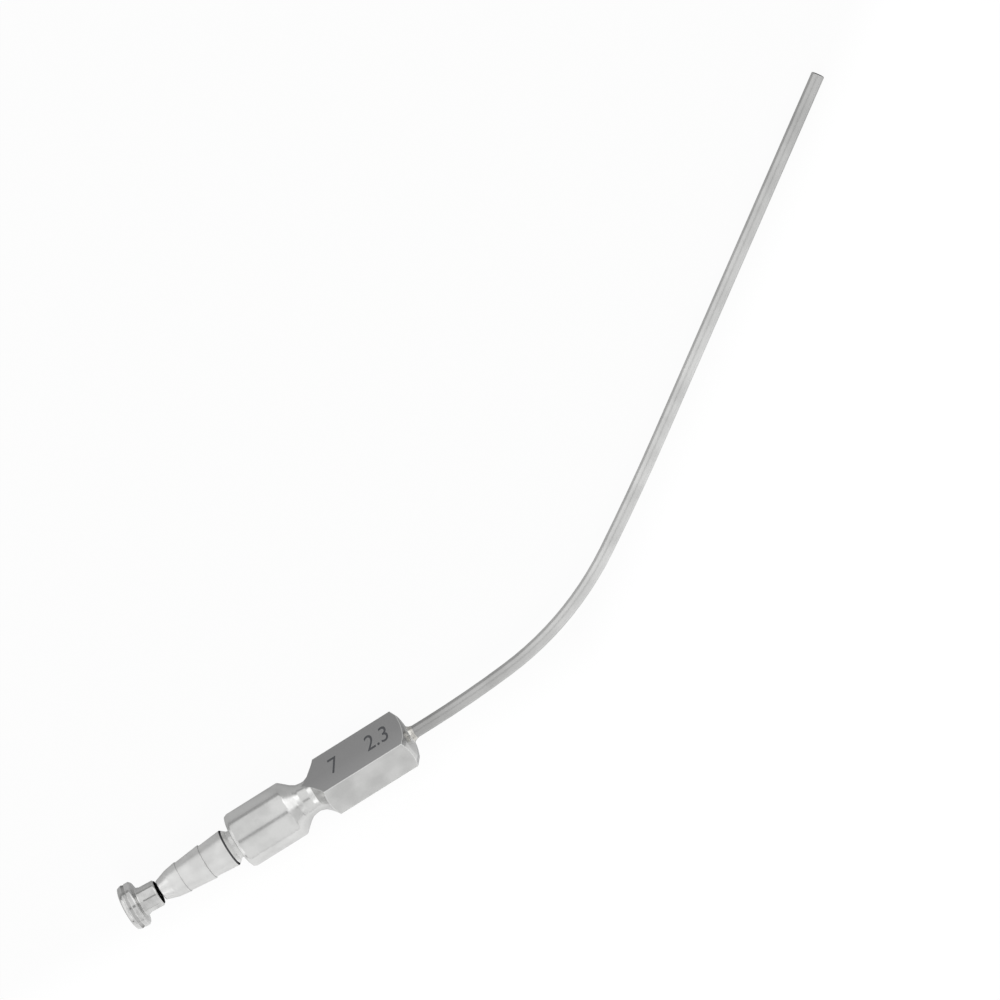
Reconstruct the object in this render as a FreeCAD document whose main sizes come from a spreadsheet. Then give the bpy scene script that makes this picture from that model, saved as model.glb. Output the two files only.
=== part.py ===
import FreeCAD, Part
import math
import os
import Sketcher
from FreeCAD import Placement, Rotation, Vector

# Frazier suction tube with its cleaning stylet in place, in millimetres and degrees.
# The handle's axis is +X, towards the tube, and the origin is the centre of the hose cone's
# small end. The part lies as it rests on a table: +Z is up, and the tube bends towards +Y.

SIZES = {
    # Hose cone: three conical steps for the suction hose, then a bevel down to the rear neck.
    # The first step is turned in two tapers, the steeper one at the mouth.
    "cone_mouth_radius": 1.88,
    "mouth_taper_length": 2.17,
    "mouth_taper_radius": 2.59,
    "first_step_length": 4.42,
    "first_step_radius": 2.94,
    "second_step_length": 4.97,
    "second_step_start": 2.79,
    "second_step_end": 3.31,
    "third_step_length": 4.54,
    "third_step_start": 3.07,
    "third_step_end": 3.47,
    "cone_back_length": 1.01,
    "rear_neck_radius": 2.64,
    "rear_neck_length": 0.94,
    # Barrel and the cove between the barrel and the plate
    "barrel_radius": 5.18,
    "barrel_length": 10.98,
    "barrel_rear_round": 0.7,
    "barrel_front_bevel": 0.15,
    "cove_slope_length": 1.71,
    "cove_slope_radius": 3.66,
    "cove_toe_length": 0.85,
    "cove_toe_radius": 3.14,
    "cove_rear_length": 3.54,
    "cove_radius": 2.96,
    "cove_floor_length": 0.6,
    "cove_rise_length": 0.97,
    "cove_rise_radius": 3.3,
    "cove_front_run": 2.01,
    "cove_front_hollow": 7.4,
    # Finger plate: flats milled on the bar, turned about the axis to where they come to rest
    "plate_length": 15.82,
    "plate_width": 9.92,
    "plate_thickness": 5.88,
    "plate_roll_angle": 54.0,
    "bar_allowance": 0.03,
    "mill_overrun": 1.0,
    "mill_start_back": 0.3,
    # Domed front end, turned in two tapers, and the hollow-sided nose round the tube
    "dome_length": 1.14,
    "dome_shoulder_length": 0.83,
    "dome_shoulder_radius": 4.19,
    "nose_wall": 0.415,
    "nose_rise": 0.8,
    "nose_hollow": 1.2,
    # Lumen, and the finger vent in the plate's hidden broad face
    "lumen_radius": 1.05,
    "mouth_bevel": 0.2,
    "vent_radius": 1.6,
    "vent_tail_radius": 0.45,
    "vent_tail_length": 4.6,
    "vent_from_plate_rear": 6.2,
    # Suction tube, 7 French, with its bend made of three arcs
    "tube_radius": 1.165,
    "tube_wall": 0.265,
    "tube_tip_bevel": 0.1,
    "socket_depth": 7.0,
    "socket_clearance": 0.02,
    "root_run": 3.9,
    "entry_bend_radius": 200.0,
    "entry_bend_angle": 4.7,
    "main_bend_radius": 57.5,
    "main_bend_angle": 26.8,
    "exit_bend_radius": 450.0,
    "exit_bend_angle": 2.8,
    "tip_run": 67.95,
    "braze_length": 0.85,
    "braze_waist_length": 0.39,
    "braze_waist_height": 0.145,
    "braze_edge": 0.04,
    # Stylet: a wire through the whole lumen and a knob on its end, a little askew
    "wire_radius": 0.5,
    "wire_end_inset": 1.4,
    "wire_seat_depth": 2.6,
    "wire_seat_clearance": 0.1,
    "knob_gap": 0.5,
    "knob_skew_angle": 3.5,
    "disc_radius": 4.15,
    "disc_thickness": 2.6,
    "disc_rear_round": 0.75,
    "disc_front_bevel": 0.28,
    "rim_groove_width": 0.55,
    "rim_groove_depth": 0.1,
    "spool_radius": 2.4,
    "spool_length": 3.8,
    "spool_fillet": 1.0,
    "collar_bevel": 0.3,
}

# How close a round edge lies to the place and radius that it is looked up by
EDGE_MATCH = 1e-3

# How far a quarter round's middle lies from each side of its corner, as a share of its radius
QUARTER_MIDDLE = 1 - math.sqrt(0.5)


class Dim:
    """A length or angle that knows its value now and the sheet expression that gives it."""

    def __init__(self, value, text):
        self.value = value
        self.text = text

    def __add__(self, other):
        other = as_dim(other)
        return Dim(self.value + other.value, f"({self.text} + {other.text})")

    def __sub__(self, other):
        other = as_dim(other)
        return Dim(self.value - other.value, f"({self.text} - {other.text})")

    def __mul__(self, other):
        other = as_dim(other)
        return Dim(self.value * other.value, f"({self.text} * {other.text})")

    def __truediv__(self, other):
        other = as_dim(other)
        return Dim(self.value / other.value, f"({self.text} / {other.text})")

    def __neg__(self):
        return Dim(-self.value, f"(-1 * {self.text})")


def as_dim(number):
    return number if isinstance(number, Dim) else Dim(float(number), repr(number))


def sine(angle):
    return Dim(math.sin(math.radians(angle.value)), f"sin({angle.text})")


def cosine(angle):
    return Dim(math.cos(math.radians(angle.value)), f"cos({angle.text})")


def arcsine(ratio):
    return Dim(math.degrees(math.asin(ratio.value)), f"asin({ratio.text})")


def root_of(square):
    return Dim(math.sqrt(square.value), f"sqrt({square.text})")


doc = FreeCAD.newDocument("frazier_suction_tube")
sheet = doc.addObject("Spreadsheet::Sheet", "Sizes")
for row, (alias, number) in enumerate(SIZES.items(), start=1):
    sheet.set(f"A{row}", alias)
    sheet.set(f"B{row}", str(number))
    sheet.setAlias(f"B{row}", alias)
doc.recompute()


def size(alias):
    return Dim(float(sheet.get(alias)), f"Sizes.{alias}")


# Places along the handle, each worked out from the one before it
ZERO = as_dim(0)
mouth_taper_x = size("mouth_taper_length")
first_step_x = size("first_step_length")
second_step_x = first_step_x + size("second_step_length")
third_step_x = second_step_x + size("third_step_length")
cone_back_x = third_step_x + size("cone_back_length")
barrel_rear_x = cone_back_x + size("rear_neck_length")
barrel_front_x = barrel_rear_x + size("barrel_length")
cove_slope_x = barrel_front_x + size("cove_slope_length")
cove_toe_x = cove_slope_x + size("cove_toe_length")
cove_floor_x = barrel_front_x + size("cove_rear_length")
cove_floor_end_x = cove_floor_x + size("cove_floor_length")
cove_rise_x = cove_floor_end_x + size("cove_rise_length")
plate_rear_x = cove_rise_x + size("cove_front_run")
plate_front_x = plate_rear_x + size("plate_length")
dome_shoulder_x = plate_front_x + size("dome_shoulder_length")
nose_foot_x = plate_front_x + size("dome_length")

# The bar is just larger than the plate's corners, so that the milled corners are sharp
half_width = size("plate_width") / 2
half_thickness = size("plate_thickness") / 2
bar_radius = root_of(half_width * half_width + half_thickness * half_thickness) + size("bar_allowance")

# The nose is a wall round the tube's socket, and its hollow side starts square to the axis at
# its foot and ends at its rim
socket_radius = size("tube_radius") + size("socket_clearance")
nose_radius = socket_radius + size("nose_wall")
nose_foot_radius = nose_radius + size("nose_rise")
nose_reach = root_of(size("nose_hollow") * size("nose_hollow") - size("nose_rise") * size("nose_rise"))
nose_tip_x = nose_foot_x + size("nose_hollow") - nose_reach

tube_start_x = nose_tip_x - size("socket_depth")
bend_start_x = nose_tip_x + size("root_run")

# The three arcs of the bend, and how far they carry the tip to the side of the handle's axis
bends = [(size(f"{name}_bend_radius"), size(f"{name}_bend_angle")) for name in ("entry", "main", "exit")]
tip_heading = ZERO
tip_offset = ZERO
for bend_radius, bend_turn in bends:
    tip_offset += bend_radius * (cosine(tip_heading) - cosine(tip_heading + bend_turn))
    tip_heading += bend_turn
tip_offset += size("tip_run") * sine(tip_heading)

# The part rests on the plate's lowest corner and the tube's tip, which sets the bend's roll
plate_roll = size("plate_roll_angle")
lowest_corner = half_width * sine(plate_roll) + half_thickness * cosine(plate_roll)
bend_roll = arcsine((lowest_corner - size("tube_radius")) / tip_offset)


def new_body(label):
    body = doc.addObject("PartDesign::Body", label)
    body.Label = label
    return body


def new_sketch(body, name, plane, offset=None):
    """A sketch on one of the body's own origin planes, moved from it by an offset."""
    sketch = body.newObject("Sketcher::SketchObject", name)
    base = next(item for item in body.Origin.OriginFeatures if item.Role == plane)
    sketch.AttachmentSupport = [(base, "")]
    sketch.MapMode = "FlatFace"
    if offset:
        sketch.AttachmentOffset = offset
    return sketch


def bind(sketch, kind, *args):
    """Adds a dimension and ties it to the sheet; the last argument is its Dim."""
    *where, dim = args
    value = math.radians(dim.value) if kind == "Angle" else dim.value
    index = sketch.addConstraint(Sketcher.Constraint(kind, *where, value))
    sketch.setExpression(f"Constraints[{index}]", dim.text)


def place_point(sketch, edge, end, along, across):
    """Holds one end of an edge at a distance along and across from the sketch's origin."""
    for kind, dim, snap in (("DistanceX", along, -2), ("DistanceY", across, -1)):
        if dim.value:
            bind(sketch, kind, -1, 1, edge, end, dim)
        else:
            sketch.addConstraint(Sketcher.Constraint("PointOnObject", edge, end, snap))


def arc_between(start, end, radius, hollow):
    """The short arc from one point to the next; a hollow one has its centre on the left."""
    chord = end.sub(start)
    middle = (start + end) * 0.5
    rise = math.sqrt(radius ** 2 - (chord.Length / 2) ** 2)
    side = Vector(-chord.y, chord.x, 0).normalize() * (rise if hollow else -rise)
    centre = middle + side
    angles = [math.atan2(point.y - centre.y, point.x - centre.x) for point in (start, end)]
    first, last = angles if hollow else reversed(angles)
    return Part.ArcOfCircle(Part.Circle(centre, Vector(0, 0, 1), radius), first, last)


def outline(sketch, corners, arcs=None):
    """A closed outline through corners; arcs maps a side's number to (radius, hollow)."""
    arcs = arcs or {}
    points = [Vector(along.value, across.value, 0) for along, across in corners]
    following = points[1:] + points[:1]
    first = sketch.GeometryCount
    ends = []
    for number, (start, end) in enumerate(zip(points, following)):
        if number in arcs:
            radius, hollow = arcs[number]
            sketch.addGeometry(arc_between(start, end, radius.value, hollow))
            ends.append((1, 2) if hollow else (2, 1))
        else:
            sketch.addGeometry(Part.LineSegment(start, end))
            ends.append((1, 2))
    count = len(points)
    for number in range(count):
        after = (number + 1) % count
        sketch.addConstraint(
            Sketcher.Constraint("Coincident", first + number, ends[number][1], first + after, ends[after][0])
        )
    for number, (along, across) in enumerate(corners):
        place_point(sketch, first + number, ends[number][0], along, across)
    for number, (radius, _) in arcs.items():
        bind(sketch, "Radius", first + number, radius)


def centred_circle(sketch, radius):
    edge = sketch.addGeometry(Part.Circle(Vector(0, 0, 0), Vector(0, 0, 1), radius.value))
    sketch.addConstraint(Sketcher.Constraint("Coincident", edge, 3, -1, 1))
    bind(sketch, "Radius", edge, radius)


def turned(body, name, sketch, kind="PartDesign::Revolution"):
    """Turns a half outline about the sketch's own horizontal axis, added or cut away."""
    feature = body.newObject(kind, name)
    feature.Profile = sketch
    feature.ReferenceAxis = (sketch, ["H_Axis"])
    feature.Angle = 360
    sketch.Visibility = False
    doc.recompute()
    return feature


def on_axis(along):
    return Vector(along.value, 0, 0)


def eased_corner(along, across, reach, rise):
    """Three points that turn a square corner in two tapered passes along its round.

    The round starts beside the corner, at rise across from it, and ends at reach ahead of it.
    """
    middle = (along + reach * QUARTER_MIDDLE, across + rise * QUARTER_MIDDLE)
    return [(along, across + rise), middle, (along + reach, across)]


def rims(shape, centre, radius):
    """Names of the round edges that have one centre and one radius."""
    found = []
    for number, edge in enumerate(shape.Edges, start=1):
        curve = edge.Curve
        if not isinstance(curve, Part.Circle):
            continue
        if abs(curve.Radius - radius.value) < EDGE_MATCH and (curve.Center - centre).Length < EDGE_MATCH:
            found.append(f"Edge{number}")
    return found


def bevelled(body, name, centre, at_radius, width):
    """Bevels the rims about one centre."""
    base = body.Tip
    feature = body.newObject("PartDesign::Chamfer", name)
    feature.Base = (base, rims(base.Shape, centre, at_radius))
    feature.Size = width.value
    feature.setExpression("Size", width.text)
    doc.recompute()


def build_handle():
    """The handle: turned from bar, drilled, milled flat on four sides and vented."""
    body = new_body("handle_body")
    sketch = new_sketch(body, "handle_outline", "XY_Plane")
    outline(
        sketch,
        [
            (ZERO, size("cone_mouth_radius")),
            (mouth_taper_x, size("mouth_taper_radius")),
            (first_step_x, size("first_step_radius")),
            (first_step_x, size("second_step_start")),
            (second_step_x, size("second_step_end")),
            (second_step_x, size("third_step_start")),
            (third_step_x, size("third_step_end")),
            (cone_back_x, size("rear_neck_radius")),
            (barrel_rear_x, size("rear_neck_radius")),
            *eased_corner(
                barrel_rear_x, size("barrel_radius"), size("barrel_rear_round"), -size("barrel_rear_round")
            ),
            (barrel_front_x, size("barrel_radius")),
            (cove_slope_x, size("cove_slope_radius")),
            (cove_toe_x, size("cove_toe_radius")),
            (cove_floor_x, size("cove_radius")),
            (cove_floor_end_x, size("cove_radius")),
            (cove_rise_x, size("cove_rise_radius")),
            (plate_rear_x, bar_radius),
            (plate_front_x, bar_radius),
            (dome_shoulder_x, size("dome_shoulder_radius")),
            (nose_foot_x, nose_foot_radius),
            (nose_tip_x, nose_radius),
            (nose_tip_x, ZERO),
            (ZERO, ZERO),
        ],
        arcs={17: (size("cove_front_hollow"), True), 21: (size("nose_hollow"), True)},
    )
    turned(body, "turned_bar", sketch)
    bevelled(
        body, "barrel_front_edge", on_axis(barrel_front_x), size("barrel_radius"), size("barrel_front_bevel")
    )
    mill_flats(body)
    drill_lumen(body)
    cut_vent(body)
    return body


def mill_flats(body):
    """Cuts all that stands outside the plate's section, from the cove's floor to the nose."""
    start = cove_floor_end_x - size("mill_start_back")
    turn = -plate_roll
    offset = Placement(Vector(0, 0, start.value), Rotation(Vector(0, 0, 1), turn.value))
    sketch = new_sketch(body, "plate_section", "YZ_Plane", offset)
    sketch.setExpression(".AttachmentOffset.Base.z", start.text)
    sketch.setExpression(".AttachmentOffset.Rotation.Angle", turn.text)
    left, low = -half_width, -half_thickness
    outline(sketch, [(left, low), (half_width, low), (half_width, half_thickness), (left, half_thickness)])
    centred_circle(sketch, bar_radius + size("mill_overrun"))
    cut = body.newObject("PartDesign::Pocket", "milled_flats")
    cut.Profile = sketch
    cut.Type = "ThroughAll"
    cut.Reversed = True
    sketch.Visibility = False
    doc.recompute()


def drill_lumen(body):
    """Bores the lumen from the cone's mouth and the tube's wider socket from the nose."""
    sketch = new_sketch(body, "lumen_outline", "XY_Plane")
    bevel = size("mouth_bevel")
    outline(
        sketch,
        [
            (ZERO, ZERO),
            (ZERO, size("lumen_radius") + bevel),
            (bevel, size("lumen_radius")),
            (tube_start_x, size("lumen_radius")),
            (tube_start_x, socket_radius),
            (nose_tip_x, socket_radius),
            (nose_tip_x, ZERO),
        ],
    )
    turned(body, "lumen_and_socket", sketch, "PartDesign::Groove")


def cut_vent(body):
    """Cuts the drop-shaped finger vent from the hidden broad face down to the lumen."""
    turn = -plate_roll
    offset = Placement(Vector(0, 0, 0), Rotation(Vector(1, 0, 0), turn.value))
    sketch = new_sketch(body, "vent_outline", "XY_Plane", offset)
    sketch.setExpression(".AttachmentOffset.Rotation.Angle", turn.text)
    centre = plate_rear_x + size("vent_from_plate_rear")
    tail = centre + size("vent_tail_length")
    wide, narrow = size("vent_radius"), size("vent_tail_radius")
    # The two straight sides touch both round ends, so they lean by this angle
    lean = math.asin((wide.value - narrow.value) / (tail.value - centre.value))
    touch = Vector(math.sin(lean), math.cos(lean), 0)
    mirrored = Vector(touch.x, -touch.y, 0)
    head_centre, tail_centre = on_axis(centre), on_axis(tail)
    up = math.pi / 2 - lean
    head = Part.ArcOfCircle(Part.Circle(head_centre, Vector(0, 0, 1), wide.value), up, 2 * math.pi - up)
    end = Part.ArcOfCircle(Part.Circle(tail_centre, Vector(0, 0, 1), narrow.value), -up, up)
    upper = Part.LineSegment(tail_centre + touch * narrow.value, head_centre + touch * wide.value)
    lower = Part.LineSegment(head_centre + mirrored * wide.value, tail_centre + mirrored * narrow.value)
    sketch.addGeometry([head, lower, end, upper])
    for one, other in ((0, 1), (1, 2), (2, 3), (3, 0)):
        sketch.addConstraint(Sketcher.Constraint("Tangent", one, 2, other, 1))
    for edge, along in ((0, centre), (2, tail)):
        sketch.addConstraint(Sketcher.Constraint("PointOnObject", edge, 3, -1))
        bind(sketch, "DistanceX", -1, 1, edge, 3, along)
    bind(sketch, "Radius", 0, wide)
    bind(sketch, "Radius", 2, narrow)
    cut = body.newObject("PartDesign::Pocket", "finger_vent")
    cut.Profile = sketch
    cut.Type = "ThroughAll"
    sketch.Visibility = False
    doc.recompute()


def bent_path(body, name, start_x, end_run):
    """The line of the tube's centre: straight, three arcs that meet tangent, straight."""
    sketch = new_sketch(body, name, "XY_Plane")
    point = on_axis(bend_start_x)
    sketch.addGeometry(Part.LineSegment(on_axis(start_x), point))
    heading = 0.0
    for radius, turn in bends:
        left = Vector(-math.sin(heading), math.cos(heading), 0)
        centre = point + left * radius.value
        circle = Part.Circle(centre, Vector(0, 0, 1), radius.value)
        from_angle = heading - math.pi / 2
        heading += math.radians(turn.value)
        edge = sketch.addGeometry(Part.ArcOfCircle(circle, from_angle, heading - math.pi / 2))
        point = sketch.getPoint(edge, 2)
        sketch.addConstraint(Sketcher.Constraint("Tangent", edge - 1, 2, edge, 1))
        bind(sketch, "Radius", edge, radius)
        bind(sketch, "Angle", edge, turn)
    ahead = Vector(math.cos(heading), math.sin(heading), 0)
    last = sketch.addGeometry(Part.LineSegment(point, point + ahead * end_run.value))
    sketch.addConstraint(Sketcher.Constraint("Tangent", last - 1, 2, last, 1))
    bind(sketch, "Distance", last, end_run)
    for end, along in ((1, start_x), (2, bend_start_x)):
        sketch.addConstraint(Sketcher.Constraint("PointOnObject", 0, end, -1))
        if along.value:
            bind(sketch, "DistanceX", -1, 1, 0, end, along)
    sketch.Visibility = False
    return sketch


def swept(body, name, path, start_x, radii):
    """Sweeps concentric circles along the path: two for a tube, one for a wire."""
    offset = Placement(Vector(0, 0, start_x.value), Rotation())
    section = new_sketch(body, name + "_section", "YZ_Plane", offset)
    section.setExpression(".AttachmentOffset.Base.z", start_x.text)
    for radius in radii:
        centred_circle(section, radius)
    pipe = body.newObject("PartDesign::AdditivePipe", name)
    pipe.Profile = section
    pipe.Spine = (path, [f"Edge{number}" for number in range(1, path.GeometryCount + 1)])
    section.Visibility = False
    doc.recompute()
    return pipe


def roll_to_rest(body):
    """Rolls a body about the handle's axis until the tube's tip is as low as the plate."""
    turn = -bend_roll
    body.Placement = Placement(Vector(0, 0, 0), Rotation(Vector(1, 0, 0), turn.value))
    body.setExpression(".Placement.Rotation.Angle", turn.text)


def build_tube():
    """The bent suction tube, from the bottom of its socket to its deburred tip."""
    body = new_body("cannula_tube")
    path = bent_path(body, "tube_line", tube_start_x, size("tip_run"))
    bore_radius = size("tube_radius") - size("tube_wall")
    swept(body, "bent_tube", path, tube_start_x, [size("tube_radius"), bore_radius])
    tip = path.getPoint(path.GeometryCount - 1, 2)
    bevelled(body, "tip_edge", tip, size("tube_radius"), size("tube_tip_bevel"))
    roll_to_rest(body)
    doc.recompute()
    return body


def build_braze():
    """The ring of filler that carries the nose's hollow side on to the tube."""
    body = new_body("braze_ring")
    sketch = new_sketch(body, "braze_outline", "XY_Plane")
    waist_x = nose_tip_x + size("braze_waist_length")
    end_x = nose_tip_x + size("braze_length")
    outline(
        sketch,
        [
            (nose_tip_x, socket_radius),
            (nose_tip_x, nose_radius),
            (waist_x, socket_radius + size("braze_waist_height")),
            (end_x, socket_radius + size("braze_edge")),
            (end_x, socket_radius),
        ],
    )
    turned(body, "braze_fillet", sketch)
    return body


# The knob's own frame runs from the middle of the disc's rear face towards the cone
disc_front = size("disc_thickness")
knob_length = disc_front + size("spool_length")
seat_middle = knob_length - size("wire_seat_depth") / 2


def build_wire():
    """The stylet's wire, from its seat in the knob to just inside the tube's tip."""
    body = new_body("stylet_wire")
    start_x = -size("knob_gap") - size("wire_seat_depth")
    path = bent_path(body, "wire_line", start_x, size("tip_run") - size("wire_end_inset"))
    swept(body, "bent_wire", path, start_x, [size("wire_radius")])
    roll_to_rest(body)
    doc.recompute()
    return body


def build_knob():
    """The stylet's knob: a disc with a grooved rim, a hollow spool and a bevelled collar."""
    body = new_body("stylet_knob")
    sketch = new_sketch(body, "knob_outline", "XY_Plane")
    groove_rear = (disc_front - size("rim_groove_width")) / 2
    groove_front = groove_rear + size("rim_groove_width")
    groove_radius = size("disc_radius") - size("rim_groove_depth")
    seat_radius = size("wire_radius") + size("wire_seat_clearance")
    seat_end = knob_length - size("wire_seat_depth")
    outline(
        sketch,
        [
            (ZERO, ZERO),
            *eased_corner(ZERO, size("disc_radius"), size("disc_rear_round"), -size("disc_rear_round")),
            (groove_rear, size("disc_radius")),
            (groove_rear, groove_radius),
            (groove_front, groove_radius),
            (groove_front, size("disc_radius")),
            (disc_front, size("disc_radius")),
            *eased_corner(disc_front, size("spool_radius"), size("spool_fillet"), size("spool_fillet")),
            (knob_length, size("spool_radius")),
            (knob_length, seat_radius),
            (seat_end, seat_radius),
            (seat_end, ZERO),
        ],
    )
    turned(body, "turned_knob", sketch)
    bevelled(body, "disc_front_edge", on_axis(disc_front), size("disc_radius"), size("disc_front_bevel"))
    bevelled(body, "collar_edge", on_axis(knob_length), size("spool_radius"), size("collar_bevel"))
    # The knob is turned a little about the middle of its seat, which stays on the wire
    seat_x = -size("knob_gap") - size("wire_seat_depth") / 2
    turn = -size("knob_skew_angle")
    base_x = seat_x - seat_middle * cosine(turn)
    base_y = -seat_middle * sine(turn)
    body.Placement = Placement(Vector(base_x.value, base_y.value, 0), Rotation(Vector(0, 0, 1), turn.value))
    body.setExpression(".Placement.Base.x", base_x.text)
    body.setExpression(".Placement.Base.y", base_y.text)
    body.setExpression(".Placement.Rotation.Angle", turn.text)
    doc.recompute()
    return body


pieces = [build_handle(), build_tube(), build_braze(), build_wire(), build_knob()]
doc.recompute()

for item in doc.Objects:
    if "Invalid" in item.State or "Error" in item.State:
        raise RuntimeError(f"{item.Name} failed: {item.State}")

os.makedirs("parts", exist_ok=True)
for body in pieces:
    shape = body.Shape
    if shape.isNull() or not shape.isValid() or len(shape.Solids) != 1:
        raise RuntimeError(f"{body.Label} is not one valid solid")
    shape.exportStep(f"parts/{body.Label}.step")
    box = shape.optimalBoundingBox(False)
    print(
        f"{body.Label}: {shape.Volume:.2f} mm3, x {box.XMin:.2f} to {box.XMax:.2f}, "
        f"y {box.YMin:.2f} to {box.YMax:.2f}, z {box.ZMin:.2f} to {box.ZMax:.2f}"
    )
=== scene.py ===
import logging
import math
from dataclasses import dataclass, field
from enum import Enum

import bpy
from mathutils import Matrix, Vector


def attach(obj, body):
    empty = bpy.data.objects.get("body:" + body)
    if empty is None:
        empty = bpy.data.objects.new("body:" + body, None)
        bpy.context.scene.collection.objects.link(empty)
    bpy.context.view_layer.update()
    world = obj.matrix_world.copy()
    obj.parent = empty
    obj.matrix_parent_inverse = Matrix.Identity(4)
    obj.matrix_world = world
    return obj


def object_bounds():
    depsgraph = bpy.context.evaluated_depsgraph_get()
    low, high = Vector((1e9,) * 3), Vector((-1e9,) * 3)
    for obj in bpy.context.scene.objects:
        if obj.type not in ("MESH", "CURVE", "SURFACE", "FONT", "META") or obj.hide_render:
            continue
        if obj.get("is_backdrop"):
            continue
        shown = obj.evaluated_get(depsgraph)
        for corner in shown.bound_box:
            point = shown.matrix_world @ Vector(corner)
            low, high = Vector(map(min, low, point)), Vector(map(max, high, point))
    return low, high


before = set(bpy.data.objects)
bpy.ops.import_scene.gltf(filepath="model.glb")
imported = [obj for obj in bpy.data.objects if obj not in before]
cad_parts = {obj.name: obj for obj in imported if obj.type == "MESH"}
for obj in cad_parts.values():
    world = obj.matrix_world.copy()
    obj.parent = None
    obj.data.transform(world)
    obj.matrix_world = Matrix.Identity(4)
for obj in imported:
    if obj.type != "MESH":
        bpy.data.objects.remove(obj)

log = logging.getLogger("suction_tube")

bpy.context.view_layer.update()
MM = 0.001
BODY = "root"

Tree = bpy.types.NodeTree
Node = bpy.types.Node
Socket = bpy.types.NodeSocket
Colour = tuple[float, float, float, float]
Shade = Colour | Socket
Place = tuple[float, float, float]
Inputs = dict[str | int, object]

# The middle part of each noise pattern's range, which is spread over the whole effect
GRAIN_SPAN = (0.3, 0.7)
CLOUD_SPAN = (0.35, 0.65)
# How much of the fine grain shows in the cloudy patches, and how strongly it tilts the light
SPECKLE_SHARE = 0.5
GRAIN_STRENGTH = 0.5
# Cosines between a face and its eased edge: where the paler edge, a painted highlight that also stands for
# rubbing, starts, and where it is full
EDGE_SHEEN_SPAN = (0.995, 0.9)
# Rays that the edge and inner corner nodes send out
PROBE_RAYS = 8


class Ray(Enum):
    """The kinds of ray that see the floor as the bright background."""

    CAMERA = "Is Camera Ray"
    GLOSSY = "Is Glossy Ray"
    TRANSMISSION = "Is Transmission Ray"


class Grain(Enum):
    """How the last pass drew its marks out, as the pattern's scales along x, y and z.

    Turning leaves short streaks round the handle's axis, drawing a soft and even skin, and a
    frozen melt has no direction.
    """

    TURNED = (1.0, 0.45, 0.45)
    DRAWN = (0.35, 0.35, 0.35)
    FROZEN = (1.0, 1.0, 1.0)


def linear(colour: str) -> Colour:
    """Turns an sRGB hex colour to the linear values that the shaders take.

    Args:
        colour: Six hex digits, red first.

    Returns:
        Linear red, green and blue, with an alpha of 1.
    """
    parts = [int(colour[place : place + 2], 16) / 255 for place in (0, 2, 4)]
    red, green, blue = [c / 12.92 if c <= 0.04045 else ((c + 0.055) / 1.055) ** 2.4 for c in parts]
    return red, green, blue, 1.0


def add_node(tree: Tree, kind: str, inputs: Inputs | None = None, **settings: object) -> Node:
    """Adds one node, sets its properties, and fills or links its inputs.

    Args:
        tree: The node tree of a material or of the world.
        kind: The node's type name.
        inputs: Input name or number to a value, or to the output socket that feeds it.
        settings: The node's own properties.

    Returns:
        The new node.
    """
    node = tree.nodes.new(kind)
    for name, value in settings.items():
        setattr(node, name, value)
    for key, value in (inputs or {}).items():
        if isinstance(value, Socket):
            tree.links.new(value, node.inputs[key])
        else:
            node.inputs[key].default_value = value
    return node


def layered(tree: Tree, colour: Shade, *layers: tuple[Socket, Shade]) -> Shade:
    """Lays coats of colour over a surface's first colour, one after the other.

    Args:
        tree: The material's tree.
        colour: The first colour, or the socket that gives it.
        layers: For each coat, a socket that is 1 where it lies, and the coat's colour.

    Returns:
        The socket that gives the colour of them all.
    """
    for where, coat in layers:
        mix = add_node(tree, "ShaderNodeMix", {"Factor": where, 6: colour, 7: coat}, data_type="RGBA")
        colour = mix.outputs[2]
    return colour


def new_tree(name: str) -> tuple[bpy.types.Material, Tree]:
    """Makes an empty node material.

    Args:
        name: The material's name.

    Returns:
        The material and its cleared node tree.
    """
    material = bpy.data.materials.new(name)
    material.use_nodes = True
    material.node_tree.nodes.clear()
    return material, material.node_tree


@dataclass(frozen=True)
class Line:
    """A line through a piece, along which its finish changes."""

    start_mm: Place
    direction: Place | Vector

    def reach(self, tree: Tree, place: Socket) -> Socket:
        """Measures how far a point lies along the line.

        Args:
            tree: The material's tree.
            place: The object coordinates.

        Returns:
            A socket that gives the distance from the start, in metres.
        """
        start = Vector(self.start_mm) * MM
        away = add_node(tree, "ShaderNodeVectorMath", {0: place, 1: start}, operation="SUBTRACT")
        reach = add_node(
            tree,
            "ShaderNodeVectorMath",
            {0: away.outputs[0], 1: self.direction},
            operation="DOT_PRODUCT",
        )
        return reach.outputs["Value"]


# The handle's axis from the cone's mouth, the knob's own axis from the middle of the wire's seat,
# a little askew, and the straight end of the tube from its middle towards the tip
HANDLE_START = (0.0, 0.0, 0.0)
HANDLE_LINE = Line(HANDLE_START, (1.0, 0.0, 0.0))
KNOB_SKEW = math.radians(3.5)
KNOB_LINE = Line((-1.8, 0.0, 0.0), (math.cos(KNOB_SKEW), -math.sin(KNOB_SKEW), 0.0))
TIP_LINE = Line((143.33, 39.88, -3.09), (0.8261, 0.56184, -0.04357))


@dataclass(frozen=True)
class Plate:
    """The finger plate's flats, as they stand about the handle's axis."""

    roll_deg: float = 54.0
    half_width_mm: float = 4.96
    half_thickness_mm: float = 2.94
    rear_mm: float = 33.98
    length_mm: float = 15.82

    def broad_normal(self) -> Vector:
        """The direction that the upper broad face looks in."""
        roll = math.radians(self.roll_deg)
        return Vector((0.0, math.sin(roll), math.cos(roll)))

    def across(self) -> Vector:
        """The direction across the upper broad face, away from the ridge."""
        roll = math.radians(self.roll_deg)
        return Vector((0.0, math.cos(roll), -math.sin(roll)))


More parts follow.
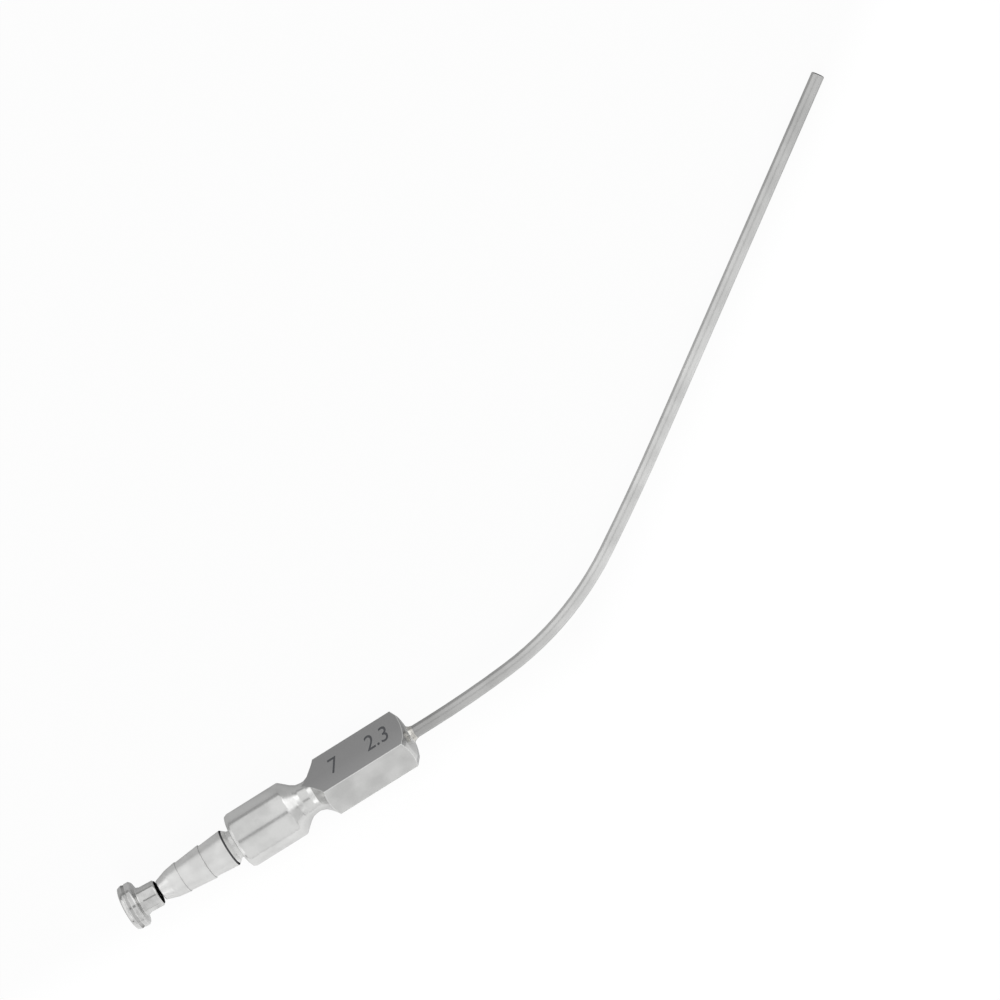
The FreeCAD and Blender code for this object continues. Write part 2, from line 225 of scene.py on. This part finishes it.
@dataclass(frozen=True)
class GroundFlatsAndShade:
    """The plate's four flats, ground duller than the turned steel and a little uneven. The broad flats and
    the domed front in line with them are darker than the side flats, partly from the ground finish and
    partly painted shade, and the broad flats are paler near the ridge, which is painted light.

    A point counts as on a flat when it lies within slack_mm of the flat's plane, and the cosine
    of the angle between its face and that plane is over square_from.
    """

    edge_colour: str = "A2A2A2"
    ridge_colour: str = "ADADAD"
    side_colour: str = "C8C8C7"
    side_patch_colour: str = "B8B8B7"
    dome_from_mm: float = 1.9
    slack_mm: float = 0.02
    square_from: float = 0.9995

    def over(self, tree: Tree, place: Node, plate: Plate, patches: Socket, shade: Shade) -> Shade:
        """Lays the flats' colours, their ground finish with painted shade and painted light, over the
        steel's.

        Args:
            tree: The material's tree.
            place: The texture coordinate node.
            plate: The finger plate.
            patches: The cloudy pattern, from 0 to 1.
            shade: The steel's colour.

        Returns:
            The socket that gives the colour of both.
        """
        sideways = Line(HANDLE_START, plate.across()).reach(tree, place.outputs["Object"])
        across = add_node(
            tree,
            "ShaderNodeMapRange",
            {"Value": sideways, "From Min": -plate.half_width_mm * MM, "From Max": 0.0},
            clamp=True,
        )
        # The broad flats are paler near the ridge, painted light, and darker from the middle on, painted
        # shade
        edge, ridge = linear(self.edge_colour), linear(self.ridge_colour)
        broad = layered(tree, ridge, (across.outputs["Result"], edge))
        side = layered(tree, linear(self.side_colour), (patches, linear(self.side_patch_colour)))
        on_broad = self._on_flat(tree, place, plate.broad_normal(), plate.half_thickness_mm)
        on_side = self._on_flat(tree, place, plate.across(), plate.half_width_mm)
        on_dome = self._on_dome(tree, place, plate)
        broad_too = add_node(tree, "ShaderNodeMath", {0: on_broad, 1: on_dome}, operation="MAXIMUM")
        return layered(tree, shade, (broad_too.outputs[0], broad), (on_side, side))

    def _on_dome(self, tree: Tree, place: Node, plate: Plate) -> Socket:
        """Marks the domed front in line with the broad flats, which gets their colour and its painted
        shade.

        Args:
            tree: The material's tree.
            place: The texture coordinate node.
            plate: The finger plate.

        Returns:
            A socket that is 1 there and 0 elsewhere.
        """
        front = add_node(
            tree,
            "ShaderNodeMath",
            {
                0: HANDLE_LINE.reach(tree, place.outputs["Object"]),
                1: (plate.rear_mm + plate.length_mm - self.slack_mm) * MM,
            },
            operation="GREATER_THAN",
        )
        height = Line(HANDLE_START, plate.broad_normal()).reach(tree, place.outputs["Object"])
        either_way = add_node(tree, "ShaderNodeMath", {0: height}, operation="ABSOLUTE")
        high = add_node(
            tree,
            "ShaderNodeMath",
            {0: either_way.outputs[0], 1: self.dome_from_mm * MM},
            operation="GREATER_THAN",
        )
        both = add_node(
            tree, "ShaderNodeMath", {0: front.outputs[0], 1: high.outputs[0]}, operation="MULTIPLY"
        )
        return both.outputs[0]

    def _on_flat(self, tree: Tree, place: Node, normal: Vector, half_mm: float) -> Socket:
        """Marks the two flats that lie square to a direction.

        Args:
            tree: The material's tree.
            place: The texture coordinate node.
            normal: The direction.
            half_mm: How far from the axis the flats lie.

        Returns:
            A socket that is 1 on the flats and 0 elsewhere.
        """
        facing = add_node(
            tree,
            "ShaderNodeVectorMath",
            {0: place.outputs["Normal"], 1: normal},
            operation="DOT_PRODUCT",
        )
        turned_to = add_node(tree, "ShaderNodeMath", {0: facing.outputs["Value"]}, operation="ABSOLUTE")
        square = add_node(
            tree,
            "ShaderNodeMath",
            {0: turned_to.outputs[0], 1: self.square_from},
            operation="GREATER_THAN",
        )
        height = Line(HANDLE_START, normal).reach(tree, place.outputs["Object"])
        either_way = add_node(tree, "ShaderNodeMath", {0: height}, operation="ABSOLUTE")
        level = add_node(
            tree,
            "ShaderNodeMath",
            {0: either_way.outputs[0], 1: half_mm * MM, 2: self.slack_mm * MM},
            operation="COMPARE",
        )
        both = add_node(
            tree, "ShaderNodeMath", {0: square.outputs[0], 1: level.outputs[0]}, operation="MULTIPLY"
        )
        return both.outputs[0]


@dataclass(frozen=True)
class EndFinish:
    """Another finish on one end of a piece, which fades out along a line."""

    line: Line
    full_mm: float
    gone_mm: float
    colour: str
    patch_colour: str
    roughness: float

    def factor(self, tree: Tree, place: Socket) -> Socket:
        """Marks the end.

        Args:
            tree: The material's tree.
            place: The object coordinates.

        Returns:
            A socket that fades from 1 at the end to 0.
        """
        fade = add_node(
            tree,
            "ShaderNodeMapRange",
            {
                "Value": self.line.reach(tree, place),
                "From Min": self.gone_mm * MM,
                "From Max": self.full_mm * MM,
            },
            clamp=True,
        )
        return fade.outputs["Result"]


@dataclass(frozen=True)
class ColourBand:
    """A narrow band square to a line, painted near black for shade in a gap unless another colour is
    given.
    """

    line: Line
    middle_mm: float
    half_mm: float
    colour: str = "141416"

    def factor(self, tree: Tree, place: Socket) -> Socket:
        """Marks the band.

        Args:
            tree: The material's tree.
            place: The object coordinates.

        Returns:
            A socket that is 1 inside the band and 0 outside.
        """
        inside = add_node(
            tree,
            "ShaderNodeMath",
            {0: self.line.reach(tree, place), 1: self.middle_mm * MM, 2: self.half_mm * MM},
            operation="COMPARE",
        )
        return inside.outputs[0]


@dataclass(frozen=True)
class Steel:
    """Stainless steel with a satin finish from its last pass.

    The grain breaks the highlights into a fine sparkle, and is drawn coarser than the real one,
    which would be too fine to show. The patches are the soft cloudy marks that wiping and
    handling leave. Edges are eased and paler: a painted highlight, which also stands for rubbing.
    Inner corners are darkened with painted shade: it is full where less than corner_full of the
    surroundings shows.
    """

    name: str
    colour: str
    patch_colour: str
    roughness: float
    roughness_spread: float
    grain: Grain
    grain_mm: float
    grain_depth_mm: float
    patch_mm: float
    anisotropy: float = 0.0
    edge_mm: float = 0.2
    edge_colour: str = "DCDCDB"
    corner_mm: float = 0.2
    corner_shade_colour: str = "7C7C7C"
    corner_full: float = 0.35
    corner_gone: float = 0.85
    ends: tuple[EndFinish, ...] = ()
    ground: GroundFlatsAndShade | None = None
    bands: tuple[ColourBand, ...] = ()

    def build(self, plate: Plate) -> bpy.types.Material:
        """Builds the node material.

        Args:
            plate: The finger plate, which tells where the ground flats lie.

        Returns:
            The finished material.
        """
        material, tree = new_tree(self.name)
        place = add_node(tree, "ShaderNodeTexCoord")
        fine = self._grain(tree, place)
        zones = [end.factor(tree, place.outputs["Object"]) for end in self.ends]
        eased = add_node(tree, "ShaderNodeBevel", {"Radius": self.edge_mm * MM}, samples=PROBE_RAYS)
        colour = self._colour(tree, place, fine, zones, plate)
        # Paler eased edges: a painted highlight, which also stands for rubbing
        colour = layered(tree, colour, (self._edge_sheen_and_wear(tree, eased, zones), linear(self.edge_colour)))
        # The bands also set the specular tint, so that their painted shade dims the glancing reflection
        # too
        glancing = linear("FFFFFF")
        for band in self.bands:
            coat = (band.factor(tree, place.outputs["Object"]), linear(band.colour))
            colour = layered(tree, colour, coat)
            glancing = layered(tree, glancing, coat)
        bump = add_node(
            tree,
            "ShaderNodeBump",
            {
                "Height": fine,
                "Strength": GRAIN_STRENGTH,
                "Distance": self.grain_depth_mm * MM,
                "Normal": eased.outputs["Normal"],
            },
        )
        shader = add_node(
            tree,
            "ShaderNodeBsdfPrincipled",
            {
                "Base Color": colour,
                "Metallic": 1.0,
                "Specular Tint": glancing,
                "Roughness": self._roughness(tree, fine, zones),
                "Anisotropic": self.anisotropy,
                "Normal": bump.outputs["Normal"],
            },
        )
        if self.anisotropy:
            tangent = add_node(tree, "ShaderNodeTangent", direction_type="RADIAL", axis="X")
            tree.links.new(tangent.outputs["Tangent"], shader.inputs["Tangent"])
        add_node(tree, "ShaderNodeOutputMaterial", {"Surface": shader.outputs["BSDF"]})
        return material

    def _grain(self, tree: Tree, place: Node) -> Socket:
        """Draws the fine marks of the last pass.

        Args:
            tree: The material's tree.
            place: The texture coordinate node.

        Returns:
            A socket that gives the grain, from 0 to 1.
        """
        drawn_out = add_node(
            tree, "ShaderNodeMapping", {"Vector": place.outputs["Object"], "Scale": self.grain.value}
        )
        fine = add_node(
            tree,
            "ShaderNodeTexNoise",
            {
                "Vector": drawn_out.outputs["Vector"],
                "Scale": 1.0 / (self.grain_mm * MM),
                "Detail": 3.0,
                "Roughness": 0.6,
            },
        )
        return fine.outputs["Fac"]

    def _roughness(self, tree: Tree, fine: Socket, zones: list[Socket]) -> Socket:
        """Varies the roughness with the grain, and from one end's finish to the next.

        Args:
            tree: The material's tree.
            fine: The grain, from 0 to 1.
            zones: For each end's finish, a socket that is 1 where it lies.

        Returns:
            The socket that gives the roughness.
        """
        spread = add_node(
            tree,
            "ShaderNodeMapRange",
            {
                "Value": fine,
                "From Min": GRAIN_SPAN[0],
                "From Max": GRAIN_SPAN[1],
                "To Min": self.roughness - self.roughness_spread,
                "To Max": self.roughness + self.roughness_spread,
            },
        )
        rough = spread.outputs["Result"]
        for end, zone in zip(self.ends, zones):
            mix = add_node(tree, "ShaderNodeMix", {0: zone, 2: rough, 3: end.roughness}, data_type="FLOAT")
            rough = mix.outputs[0]
        return rough

    def _edge_sheen_and_wear(self, tree: Tree, eased: Node, zones: list[Socket]) -> Socket:
        """Marks the edges that get the painted highlight, which also stands for rubbing, apart from those
        in an end's own finish.

        Args:
            tree: The material's tree.
            eased: The node that eases the edges.
            zones: For each end's finish, a socket that is 1 where it lies.

        Returns:
            A socket that is 1 where the paler edge is full.
        """
        surface = add_node(tree, "ShaderNodeNewGeometry")
        turned = add_node(
            tree,
            "ShaderNodeVectorMath",
            {0: eased.outputs["Normal"], 1: surface.outputs["Normal"]},
            operation="DOT_PRODUCT",
        )
        edge_sheen = add_node(
            tree,
            "ShaderNodeMapRange",
            {"Value": turned.outputs["Value"], "From Min": EDGE_SHEEN_SPAN[0], "From Max": EDGE_SHEEN_SPAN[1]},
            clamp=True,
        )
        sheen_and_wear = edge_sheen.outputs["Result"]
        for zone in zones:
            left = add_node(
                tree, "ShaderNodeMath", {0: sheen_and_wear, 1: zone}, operation="SUBTRACT", use_clamp=True
            )
            sheen_and_wear = left.outputs[0]
        return sheen_and_wear

    def _colour(self, tree: Tree, place: Node, fine: Socket, zones: list[Socket], plate: Plate) -> Shade:
        """Mixes the steel's colour, its patches, its ends, its flats with their ground finish and painted
        shade, and the painted shade in its inner corners.

        Args:
            tree: The material's tree.
            place: The texture coordinate node.
            fine: The grain, from 0 to 1.
            zones: For each end's finish, a socket that is 1 where it lies.
            plate: The finger plate.

        Returns:
            The socket that gives the base colour.
        """
        cloud = add_node(
            tree,
            "ShaderNodeTexNoise",
            {"Vector": place.outputs["Object"], "Scale": 1.0 / (self.patch_mm * MM), "Detail": 2.0},
        )
        patches = add_node(
            tree,
            "ShaderNodeMapRange",
            {"Value": cloud.outputs["Fac"], "From Min": CLOUD_SPAN[0], "From Max": CLOUD_SPAN[1]},
            clamp=True,
        )
        speckled = add_node(
            tree,
            "ShaderNodeMath",
            {0: fine, 1: SPECKLE_SHARE, 2: patches.outputs["Result"]},
            operation="MULTIPLY_ADD",
        )
        centred = add_node(
            tree, "ShaderNodeMath", {0: speckled.outputs[0], 1: SPECKLE_SHARE / 2}, operation="SUBTRACT"
        )
        blend = centred.outputs[0]
        shade = layered(tree, linear(self.colour), (blend, linear(self.patch_colour)))
        for end, zone in zip(self.ends, zones):
            finish = layered(tree, linear(end.colour), (blend, linear(end.patch_colour)))
            shade = layered(tree, shade, (zone, finish))
        if self.ground:
            shade = self.ground.over(tree, place, plate, blend, shade)
        # Painted shade in inner corners, where the occlusion node finds little open space round the point
        open_sky = add_node(
            tree,
            "ShaderNodeAmbientOcclusion",
            {"Distance": self.corner_mm * MM},
            samples=PROBE_RAYS,
            only_local=True,
        )
        unshaded = add_node(
            tree,
            "ShaderNodeMapRange",
            {"Value": open_sky.outputs["AO"], "From Min": self.corner_full, "From Max": self.corner_gone},
            clamp=True,
        )
        return layered(tree, linear(self.corner_shade_colour), (unshaded.outputs["Result"], shade))


@dataclass(frozen=True)
class EtchedMark:
    """Laser etched oxide on steel, which is dark and dull against the ground face."""

    name: str = "laser_etched_oxide"
    colour: str = "47484B"
    speckle_colour: str = "66676A"
    speckle_mm: float = 0.25
    metallic: float = 0.7
    roughness: float = 0.6

    def build(self) -> bpy.types.Material:
        """Builds the node material.

        Returns:
            The finished material.
        """
        material, tree = new_tree(self.name)
        place = add_node(tree, "ShaderNodeTexCoord")
        speckle = add_node(
            tree,
            "ShaderNodeTexNoise",
            {"Vector": place.outputs["Object"], "Scale": 1.0 / (self.speckle_mm * MM)},
        )
        speckles = (speckle.outputs["Fac"], linear(self.speckle_colour))
        shader = add_node(
            tree,
            "ShaderNodeBsdfPrincipled",
            {
                "Base Color": layered(tree, linear(self.colour), speckles),
                "Metallic": self.metallic,
                "Roughness": self.roughness,
            },
        )
        add_node(tree, "ShaderNodeOutputMaterial", {"Surface": shader.outputs["BSDF"]})
        return material


@dataclass(frozen=True)
class FloorPaper:
    """Matt white paper, which the camera and the steel see a little brighter than it is lit.

    It is in soft shade under the object and beyond it. The edge of the shade runs along the
    handle's axis and turns where the tube turns.
    """

    name: str = "matt_white_paper"
    colour: str = "F4F4F4"
    shade_colour: str = "B6B6B6"
    shade_from_mm: float = -8.0
    shade_to_mm: float = 0.0
    turn_at_mm: float = 84.7
    turn_slope: float = 0.68
    shares: dict[Ray, float] = field(
        default_factory=lambda: {Ray.CAMERA: 0.95, Ray.GLOSSY: 0.12, Ray.TRANSMISSION: 0.95}
    )

    def build(self) -> bpy.types.Material:
        """Builds the node material.

        Returns:
            The finished material.
        """
        material, tree = new_tree(self.name)
        path = add_node(tree, "ShaderNodeLightPath")
        bright = 0.0
        for ray, share in self.shares.items():
            seen = add_node(
                tree, "ShaderNodeMath", {0: path.outputs[ray.value], 1: share}, operation="MULTIPLY"
            )
            most = add_node(tree, "ShaderNodeMath", {0: bright, 1: seen.outputs[0]}, operation="MAXIMUM")
            bright = most.outputs[0]
        paper = add_node(tree, "ShaderNodeBsdfDiffuse", {"Color": self._shaded(tree)})
        white = add_node(tree, "ShaderNodeEmission", {"Color": linear("FFFFFF"), "Strength": 1.0})
        shown = add_node(
            tree,
            "ShaderNodeMixShader",
            {0: bright, 1: paper.outputs["BSDF"], 2: white.outputs["Emission"]},
        )
        add_node(tree, "ShaderNodeOutputMaterial", {"Surface": shown.outputs["Shader"]})
        return material

    def _shaded(self, tree: Tree) -> Shade:
        """Fades the paper from white on the near side to its shade beyond the object.

        Args:
            tree: The material's tree.

        Returns:
            The socket that gives the paper's colour.
        """
        place = add_node(tree, "ShaderNodeTexCoord")
        spot = add_node(tree, "ShaderNodeSeparateXYZ", {0: place.outputs["Object"]})
        past = add_node(
            tree, "ShaderNodeMath", {0: spot.outputs["X"], 1: self.turn_at_mm * MM}, operation="SUBTRACT"
        )
        bent = add_node(
            tree, "ShaderNodeMath", {0: past.outputs[0], 1: self.turn_slope}, operation="MULTIPLY"
        )
        line = add_node(tree, "ShaderNodeMath", {0: bent.outputs[0], 1: 0.0}, operation="MAXIMUM")
        beyond = add_node(
            tree, "ShaderNodeMath", {0: spot.outputs["Y"], 1: line.outputs[0]}, operation="SUBTRACT"
        )
        fade = add_node(
            tree,
            "ShaderNodeMapRange",
            {
                "Value": beyond.outputs[0],
                "From Min": self.shade_from_mm * MM,
                "From Max": self.shade_to_mm * MM,
            },
            clamp=True,
        )
        return layered(tree, linear(self.colour), (fade.outputs["Result"], linear(self.shade_colour)))


# Turned handle: bright satin, with the hose cone blasted matt and pale, the plate's flats ground duller
# and darkened further with painted shade, painted shade round the cone's mouth, where the knob closes it,
# and a painted shade line and a painted highlight on the bevel at its large end
HANDLE_STEEL = Steel(
    name="stainless_steel_turned_satin",
    colour="D2D2D1",
    patch_colour="C2C2C1",
    roughness=0.2,
    roughness_spread=0.05,
    grain=Grain.TURNED,
    grain_mm=0.2,
    grain_depth_mm=0.003,
    patch_mm=4.5,
    anisotropy=0.2,
    edge_mm=0.3,
    ends=(EndFinish(HANDLE_LINE, 15.7, 15.9, "DEDEDD", "CFCFCE", 0.36),),
    ground=GroundFlatsAndShade(),
    bands=(
        # Painted shade round the cone's mouth, a painted shade line at the cone's large end, and a painted
        # highlight on the bevel beside it
        ColourBand(HANDLE_LINE, 0.0, 0.06),
        ColourBand(HANDLE_LINE, 14.08, 0.15, "58585A"),
        ColourBand(HANDLE_LINE, 14.59, 0.36, "F2F2F1"),
    ),
)
# Drawn tube: a smooth satin skin, duller and darker near the joint and towards the tip, with painted shade
# inside its open end and round the joint
TUBE_STEEL = Steel(
    name="stainless_steel_drawn_tube",
    colour="D2D2D1",
    patch_colour="C4C4C3",
    roughness=0.34,
    roughness_spread=0.05,
    grain=Grain.DRAWN,
    grain_mm=0.2,
    grain_depth_mm=0.003,
    patch_mm=6.0,
    edge_mm=0.05,
    corner_mm=2.0,
    corner_shade_colour="1C1C1E",
    corner_full=0.65,
    corner_gone=0.95,
    ends=(
        EndFinish(HANDLE_LINE, 56.0, 88.0, "ADADAC", "A2A2A1", 0.34),
        EndFinish(TIP_LINE, 31.0, -11.0, "B9B9B8", "ADADAC", 0.34),
    ),
)
# Silver braze: a smooth frozen fillet, a touch warmer than the steel
BRAZE_SILVER = Steel(
    name="silver_braze_filler",
    colour="D2D0CB",
    patch_colour="B5B3AE",
    roughness=0.2,
    roughness_spread=0.06,
    grain=Grain.FROZEN,
    grain_mm=0.4,
    grain_depth_mm=0.004,
    patch_mm=1.0,
    edge_mm=0.15,
)
# Drawn spring wire, with painted shade where it crosses the gap behind the cone
WIRE_STEEL = Steel(
    name="stainless_spring_wire",
    colour="C4C4C4",
    patch_colour="B0B0B0",
    roughness=0.3,
    roughness_spread=0.04,
    grain=Grain.DRAWN,
    grain_mm=0.2,
    grain_depth_mm=0.003,
    patch_mm=2.0,
    edge_mm=0.05,
    bands=(ColourBand(HANDLE_LINE, -0.2, 0.6),),
)
# Turned knob: polished brighter than the handle, so its rim shows sharper bands. Its front face has
# painted shade where it closes on the cone, and the groove in its rim is darkened with painted shade.
KNOB_STEEL = Steel(
    name="stainless_steel_turned_polished",
    colour="CCCCCB",
    patch_colour="B2B2B1",
    roughness=0.12,
    roughness_spread=0.04,
    grain=Grain.TURNED,
    grain_mm=0.25,
    grain_depth_mm=0.003,
    patch_mm=2.4,
    anisotropy=0.2,
    edge_mm=0.35,
    edge_colour="D8D8D7",
    bands=(ColourBand(KNOB_LINE, 1.3, 0.05), ColourBand(KNOB_LINE, -3.8, 0.3, "AEAEAD")),
)


@dataclass
class Instrument:
    """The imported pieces, each dressed in its own steel."""

    plate: Plate
    finishes: dict[str, Steel] = field(
        default_factory=lambda: {
            "handle_body": HANDLE_STEEL,
            "cannula_tube": TUBE_STEEL,
            "braze_ring": BRAZE_SILVER,
            "stylet_wire": WIRE_STEEL,
            "stylet_knob": KNOB_STEEL,
        }
    )

    def dress(self) -> None:
        """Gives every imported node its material."""
        for name, finish in self.finishes.items():
            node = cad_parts[name]
            material = finish.build(self.plate)
            if not node.data.materials:
                node.data.materials.append(material)
            for slot in node.material_slots:
                slot.material = material
            log.info("%s: %s", name, finish.name)


@dataclass
class SizeMark:
    """The plain size numbers etched on the plate's upper broad face: French, then millimetres."""

    plate: Plate
    finish: EtchedMark
    text: str = "7     2.3"
    height_mm: float = 6.0
    squeeze: float = 0.66
    start_mm: float = 2.2
    up_mm: float = 0.1
    lift_mm: float = 0.004

    def build(self) -> bpy.types.Object:
        """Sets the numbers flat on the face.

        Returns:
            The mesh object, which rides with the handle.
        """
        curve = bpy.data.curves.new("size_mark", "FONT")
        curve.body = self.text
        curve.size = self.height_mm * MM
        curve.align_y = "CENTER"
        source = bpy.data.objects.new("size_mark_source", curve)
        bpy.context.scene.collection.objects.link(source)
        bpy.context.view_layer.update()
        shaped = source.evaluated_get(bpy.context.evaluated_depsgraph_get())
        mesh = bpy.data.meshes.new_from_object(shaped)
        bpy.data.objects.remove(source)
        normal, across = self.plate.broad_normal(), self.plate.across()
        along = Vector((1.0, 0.0, 0.0))
        corner = along * (self.plate.rear_mm + self.start_mm) + across * self.up_mm
        corner = (corner + normal * (self.plate.half_thickness_mm + self.lift_mm)) * MM
        turn = Matrix((along, across, normal)).transposed().to_4x4()
        mesh.transform(Matrix.Translation(corner) @ turn @ Matrix.Diagonal((self.squeeze, 1.0, 1.0, 1.0)))
        mesh.name = "size_mark"
        mesh.materials.clear()
        mesh.materials.append(self.finish.build())
        mark = bpy.data.objects.new("size_mark", mesh)
        bpy.context.scene.collection.objects.link(mark)
        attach(mark, BODY)
        log.info("size_mark: %d faces", len(mesh.polygons))
        return mark


@dataclass(frozen=True)
class Softbox:
    """A soft white panel that faces the object, with its long side level.

    Its bearing is counted from straight ahead of the handle, with the far side at 90 degrees. A
    panel that isn't mirrored lights the floor and leaves no glint in the steel.
    """

    name: str
    bearing_deg: float
    height_deg: float
    width_m: float
    length_m: float
    radiance: float
    distance_m: float = 1.0
    mirrored: bool = True

    def build(self, centre: Vector) -> None:
        """Hangs the panel so that it faces the object.

        Args:
            centre: The point that the panel faces.
        """
        bearing, height = math.radians(self.bearing_deg), math.radians(self.height_deg)
        level = Vector((math.cos(bearing), math.sin(bearing), 0.0))
        away = level * math.cos(height) + Vector((0.0, 0.0, math.sin(height)))
        lamp = bpy.data.lights.new(self.name, "AREA")
        lamp.shape = "RECTANGLE"
        lamp.size, lamp.size_y = self.length_m, self.width_m
        lamp.energy = self.radiance * math.pi * self.length_m * self.width_m
        panel = bpy.data.objects.new(self.name, lamp)
        bpy.context.scene.collection.objects.link(panel)
        panel.location = centre + away * self.distance_m
        panel.rotation_mode = "QUATERNION"
        panel.rotation_quaternion = away.to_track_quat("Z", "Y")
        panel.visible_camera = False
        panel.visible_glossy = self.mirrored


@dataclass
class Studio:
    """The floor, the soft light round the object and the camera over it."""

    handle_angle_deg: float = 32.05
    lean_deg: float = 8.6
    pixel_mm: float = 0.172
    picture_px: int = 1000
    centre_mm: Place = (86.07, 26.02, 0.0)
    lens_mm: float = 1500.0
    sensor_mm: float = 36.0
    room_grey: float = 0.42
    floor_half_m: float = 3.0
    panels: tuple[Softbox, ...] = (
        Softbox("far_side_panel", 90.0, 51.0, 1.5, 2.2, 0.62),
        Softbox("near_side_panel", -90.0, 41.75, 1.66, 2.2, 0.6),
        Softbox("front_far_panel", 21.0, 20.0, 0.68, 0.8, 1.15),
        Softbox("front_near_panel", -20.0, 20.0, 0.68, 0.7, 0.5),
        Softbox("front_top_panel", -5.0, 58.0, 0.66, 0.14, 0.8),
        Softbox("rear_end_panel", 180.0, 21.0, 0.73, 1.68, 0.8),
        Softbox("rear_top_panel", 185.0, 56.0, 0.5, 0.14, 0.8),
        Softbox("floor_panel", -115.0, 50.0, 0.35, 0.35, 6.5, mirrored=False),
    )

    def build(self) -> None:
        """Builds the floor, the lights, the room and the camera."""
        low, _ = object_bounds()
        centre = Vector(self.centre_mm) * MM
        self._floor(low.z)
        for panel in self.panels:
            panel.build(centre)
        self._room()
        self._camera(centre)
        log.info("studio: %d panels", len(self.panels))

    def _floor(self, height: float) -> None:
        """Lays the paper floor under the object.

        Args:
            height: Where the object rests, in metres.
        """
        half = self.floor_half_m
        corners = [(-half, -half), (half, -half), (half, half), (-half, half)]
        mesh = bpy.data.meshes.new("floor")
        mesh.from_pydata([(x, y, height) for x, y in corners], [], [(0, 1, 2, 3)])
        mesh.materials.append(FloorPaper().build())
        floor = bpy.data.objects.new("floor", mesh)
        bpy.context.scene.collection.objects.link(floor)
        floor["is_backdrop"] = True

    def _room(self) -> None:
        """Fills the room with an even grey."""
        world = bpy.data.worlds.new("room")
        world.use_nodes = True
        world.node_tree.nodes.clear()
        grey = (self.room_grey, self.room_grey, self.room_grey, 1.0)
        shade = add_node(world.node_tree, "ShaderNodeBackground", {"Color": grey, "Strength": 1.0})
        add_node(world.node_tree, "ShaderNodeOutputWorld", {"Surface": shade.outputs["Background"]})
        bpy.context.scene.world = world

    def _camera(self, centre: Vector) -> None:
        """Places the camera at the photograph's viewing angle.

        Args:
            centre: The point that the middle of the picture shows.
        """
        lean, turn = math.radians(self.lean_deg), math.radians(self.handle_angle_deg)
        along = Vector((math.cos(lean), 0.0, -math.sin(lean)))
        aside = Vector((0.0, 1.0, 0.0))
        right = along * math.cos(turn) - aside * math.sin(turn)
        upward = along * math.sin(turn) + aside * math.cos(turn)
        back = Vector((math.sin(lean), 0.0, math.cos(lean)))
        data = bpy.data.cameras.new("camera")
        data.lens, data.sensor_width = self.lens_mm, self.sensor_mm
        camera = bpy.data.objects.new("camera", data)
        bpy.context.scene.collection.objects.link(camera)
        distance = self.picture_px * self.pixel_mm * MM * self.lens_mm / self.sensor_mm
        camera.rotation_mode = "QUATERNION"
        camera.rotation_quaternion = Matrix((right, upward, back)).transposed().to_quaternion()
        camera.location = centre + back * distance
        bpy.context.scene.camera = camera


def main() -> None:
    """Dresses the instrument, marks it and sets it in the studio."""
    logging.basicConfig(level=logging.INFO, format="%(message)s")
    plate = Plate()
    Instrument(plate).dress()
    SizeMark(plate, EtchedMark()).build()
    Studio().build()
    bpy.context.scene.view_settings.view_transform = "Standard"


if __name__ == "__main__":
    main()
